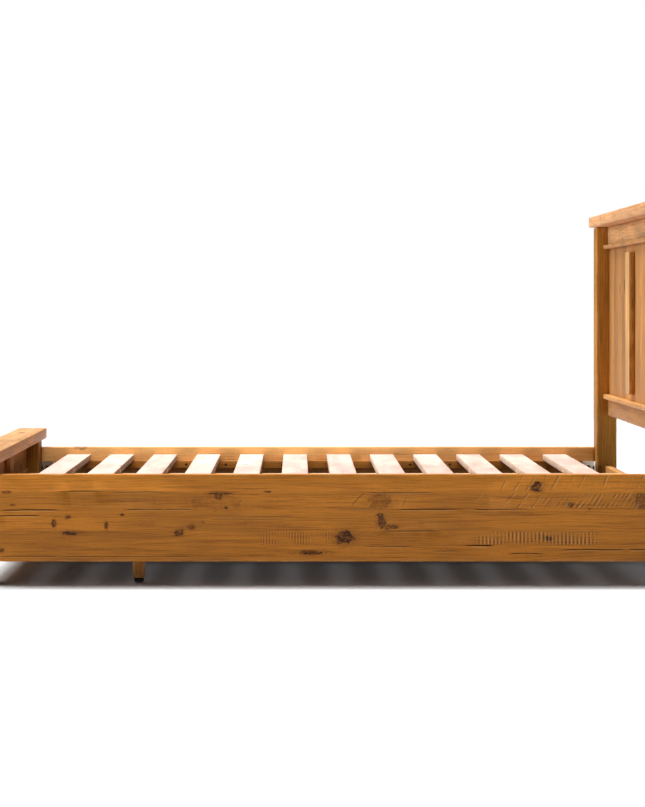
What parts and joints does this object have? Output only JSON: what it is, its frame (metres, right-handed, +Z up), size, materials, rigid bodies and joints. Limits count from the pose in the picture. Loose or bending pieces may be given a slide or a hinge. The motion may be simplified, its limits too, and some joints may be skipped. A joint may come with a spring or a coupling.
{
  "type": "wooden bed frame",
  "caption": "Rustic waxed pine bed frame with a panelled headboard, low footboard, deep side rails, loose slats on ledgers, a centre beam and legs on screw-in glides.",
  "frame": {"origin": "on the floor, under the middle of the bed's outline", "axes": "+Z up; +X from the foot to the head; +Y to the left of someone who lies in the bed"},
  "size_m": [2.176, 1.632, 1.168],
  "materials": {
    "waxed_pine": "honey-brown wax over knotty sawn pine, satin",
    "bare_pine": "planed, unfinished, matt",
    "zinc_steel": "zinc plated, pale yellow-grey",
    "black_plastic": "moulded, slightly textured"
  },
  "bodies": {
    "bed_frame": {"beam_hanger_foot": "zinc_steel", "beam_hanger_head": "zinc_steel", "centre_beam": "waxed_pine", "corner_bracket_foot_left": "zinc_steel", "corner_bracket_foot_right": "zinc_steel", "corner_bracket_head_left": "zinc_steel", "corner_bracket_head_right": "zinc_steel", "foot_cap": "waxed_pine", "foot_muntin": "waxed_pine", "foot_panel": "waxed_pine", "foot_post_left": "waxed_pine", "foot_post_right": "waxed_pine", "foot_rail": "waxed_pine", "head_bead_bottom": "waxed_pine", "head_bead_top": "waxed_pine", "head_board_01": "waxed_pine", "head_board_02": "waxed_pine", "head_board_03": "waxed_pine", "head_board_04": "waxed_pine", "head_board_05": "waxed_pine", "head_board_06": "waxed_pine", "head_board_07": "waxed_pine", "head_board_08": "waxed_pine", "head_board_09": "waxed_pine", "head_board_10": "waxed_pine", "head_board_11": "waxed_pine", "head_bottom_rail": "waxed_pine", "head_cap": "waxed_pine", "head_lower_rail": "waxed_pine", "head_muntin": "waxed_pine", "head_post_left": "waxed_pine", "head_post_right": "waxed_pine", "head_top_rail": "waxed_pine", "side_rail_left": "waxed_pine", "side_rail_right": "waxed_pine", "slat_01": "bare_pine", "slat_02": "bare_pine", "slat_03": "bare_pine", "slat_04": "bare_pine", "slat_05": "bare_pine", "slat_06": "bare_pine", "slat_07": "bare_pine", "slat_08": "bare_pine", "slat_09": "bare_pine", "slat_10": "bare_pine", "slat_11": "bare_pine", "slat_12": "bare_pine", "slat_ledger_left": "waxed_pine", "slat_ledger_right": "waxed_pine", "support_leg_centre": "waxed_pine", "support_leg_left": "waxed_pine", "support_leg_right": "waxed_pine"},
    "glide_stud_left": {"glide_stud_left": "zinc_steel"},
    "glide_pad_left": {"glide_pad_left": "black_plastic"},
    "glide_stud_right": {"glide_stud_right": "zinc_steel"},
    "glide_pad_right": {"glide_pad_right": "black_plastic"},
    "glide_stud_centre": {"glide_stud_centre": "zinc_steel"},
    "glide_pad_centre": {"glide_pad_centre": "black_plastic"}
  },
  "joints": [
    {"name": "glide_travel_left", "type": "slide", "parent": "bed_frame", "child": "glide_stud_left", "axis": [0, 0, -1], "range_m": [0, 0.012]},
    {"name": "glide_turn_left", "type": "hinge", "parent": "glide_stud_left", "child": "glide_pad_left", "pos_m": [-0.56, 0.7182, 0.012], "axis": [0, 0, -1], "range_deg": [0, 3460]},
    {"name": "glide_travel_right", "type": "slide", "parent": "bed_frame", "child": "glide_stud_right", "axis": [0, 0, -1], "range_m": [0, 0.012]},
    {"name": "glide_turn_right", "type": "hinge", "parent": "glide_stud_right", "child": "glide_pad_right", "pos_m": [-0.56, -0.7182, 0.012], "axis": [0, 0, -1], "range_deg": [0, 3460]},
    {"name": "glide_travel_centre", "type": "slide", "parent": "bed_frame", "child": "glide_stud_centre", "axis": [0, 0, -1], "range_m": [0, 0.012]},
    {"name": "glide_turn_centre", "type": "hinge", "parent": "glide_stud_centre", "child": "glide_pad_centre", "pos_m": [0, 0, 0.012], "axis": [0, 0, -1], "range_deg": [0, 3460]}
  ],
  "couplings": [
    {"joint": "glide_turn_left", "follows": "glide_travel_left", "rad_per_m": 5026.5},
    {"joint": "glide_turn_right", "follows": "glide_travel_right", "rad_per_m": 5026.5},
    {"joint": "glide_turn_centre", "follows": "glide_travel_centre", "rad_per_m": 5026.5}
  ]
}
